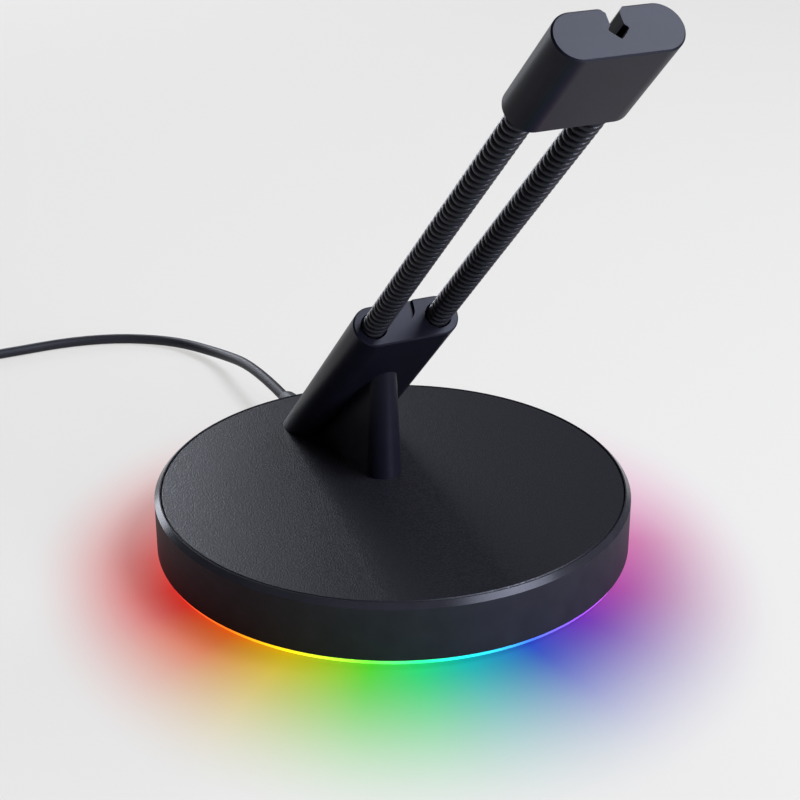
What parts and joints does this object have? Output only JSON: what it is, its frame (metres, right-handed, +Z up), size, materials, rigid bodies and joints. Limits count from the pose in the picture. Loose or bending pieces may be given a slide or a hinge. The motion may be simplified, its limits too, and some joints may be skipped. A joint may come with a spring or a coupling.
{
  "type": "mouse bungee",
  "caption": "Desk stand that holds a mouse cord clear of the desk: a weighted round base with a lit ring carries a slanted arm of twin coil springs and a slotted clip.",
  "frame": {"origin": "on the desk, under the middle of the round base", "axes": "+Z up, -Y the way the arm leans, +Y the way the lead leaves, +X across the two springs"},
  "size_m": [0.1639, 0.2162, 0.1303],
  "materials": {
    "shell_plastic": "black satin moulding",
    "plate_plastic": "dark grey sand texture",
    "arm_plastic": "black satin moulding",
    "cover_plastic": "black fine texture",
    "light_diffuser": "frosted translucent, lit in colours that change round the base",
    "foot_rubber": "matte black",
    "weight_steel": "plain rolled",
    "board_laminate": "solder mask",
    "lamp_resin": "clear resin in a white case",
    "chip_resin": "black moulded",
    "header_plastic": "natural nylon",
    "lead_jacket": "black satin jacket",
    "spring_steel": "black coated spring wire",
    "screw_steel": "dark plated",
    "tie_plastic": "black strap",
    "plug_steel": "plated sheet",
    "tongue_plastic": "plain moulded",
    "contact_brass": "plated"
  },
  "bodies": {
    "base": {"base_housing": "shell_plastic", "top_plate": "plate_plastic", "light_ring": "light_diffuser", "bottom_cover": "cover_plastic", "foot_ring": "foot_rubber", "weight_plate": "weight_steel", "led_board": "board_laminate", "leds": "lamp_resin", "controller_chip": "chip_resin", "lead_header": "header_plastic", "inner_lead": "lead_jacket", "strain_relief": "lead_jacket", "arm_holder": "arm_plastic", "housing_screws": "screw_steel", "weight_screws": "screw_steel", "holder_screws": "screw_steel", "board_screws": "screw_steel", "usb_lead": "lead_jacket", "usb_lead_coil": "lead_jacket", "usb_lead_tail": "lead_jacket", "coil_tie": "tie_plastic", "plug_grip": "lead_jacket", "plug_shell": "plug_steel", "plug_tongue": "tongue_plastic", "plug_contacts": "contact_brass"},
    "spring_pair": {"left_spring": "spring_steel", "right_spring": "spring_steel"},
    "clip": {"cord_clip": "arm_plastic"}
  },
  "joints": [
    {"name": "arm_nod", "type": "hinge", "parent": "base", "child": "spring_pair", "pos_m": [0, -0.02407, 0.07077], "axis": [1, 0, 0], "range_deg": [-25, 25], "stiffness_Nm_per_rad": 0.2, "springref_deg": -1.26, "deforming": ["left_spring", "right_spring"]},
    {"name": "arm_sway", "type": "slide", "parent": "spring_pair", "child": "clip", "axis": [1, 0, 0], "range_m": [-0.01, 0.01], "stiffness_N_per_m": 125, "deforming": ["left_spring", "right_spring"]}
  ]
}
